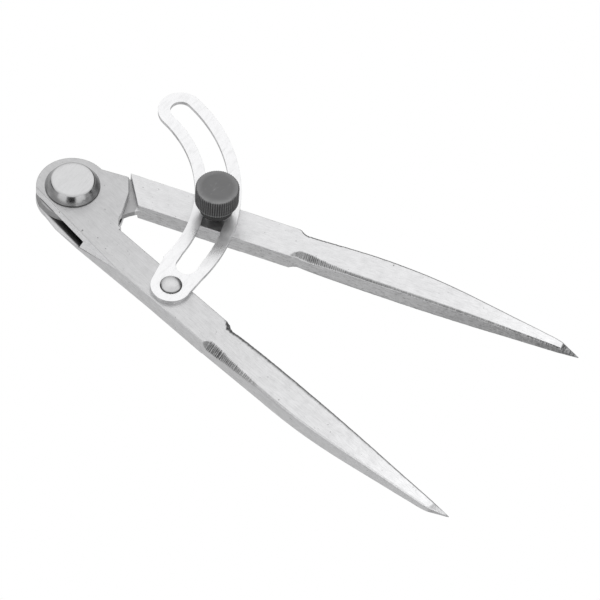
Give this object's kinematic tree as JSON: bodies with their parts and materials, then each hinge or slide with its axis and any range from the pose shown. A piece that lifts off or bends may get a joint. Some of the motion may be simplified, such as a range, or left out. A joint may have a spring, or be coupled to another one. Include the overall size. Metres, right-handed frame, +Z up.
{
  "type": "wing divider",
  "caption": "Steel marking-out divider: two pointed legs on a riveted box joint, a slotted arc wing and a knurled thumbscrew that locks the opening.",
  "frame": {"origin": "on the pivot axis, at the flat foot of the lower pivot collar, which is the lowest face of the divider lying flat", "axes": "+Z up along the pivot axis, out of the upper rivet head; +X along the bisector of the legs in the rest pose, from the pivot towards the points; +Y towards the leg that carries the thumbscrew"},
  "size_m": [0.1565, 0.0806, 0.0216],
  "materials": {
    "leg_steel": "satin ground",
    "rivet_steel": "turned and brushed",
    "bright_steel": "bright zinc, satin",
    "small_rivet_steel": "polished dome",
    "black_steel": "black oxide, matt"
  },
  "bodies": {
    "fork": {"fork_leg": "leg_steel", "pivot_rivet": "rivet_steel", "pivot_collar": "rivet_steel", "wing": "bright_steel", "wing_rivet": "small_rivet_steel"},
    "tongue": {"tongue_leg": "leg_steel"},
    "captive_washer": {"washer": "black_steel"},
    "thumbscrew": {"thumb_knob": "black_steel", "thumb_stud": "black_steel"}
  },
  "joints": [
    {"name": "leg_pivot", "type": "hinge", "parent": "fork", "child": "tongue", "pos_m": [0, 0, 0], "axis": [0, 0, 1], "range_deg": [-25.3, 54]},
    {"name": "screw_lift", "type": "slide", "parent": "tongue", "child": "captive_washer", "axis": [0, 0, 1], "range_m": [-0.002, 0.0015]},
    {"name": "screw_turn", "type": "hinge", "parent": "captive_washer", "child": "thumbscrew", "pos_m": [0.03848, 0.01447, 0], "axis": [0, 0, 1], "range_deg": [-1035, 778]}
  ],
  "couplings": [
    {"joint": "screw_turn", "follows": "screw_lift", "rad_per_m": 8976}
  ]
}
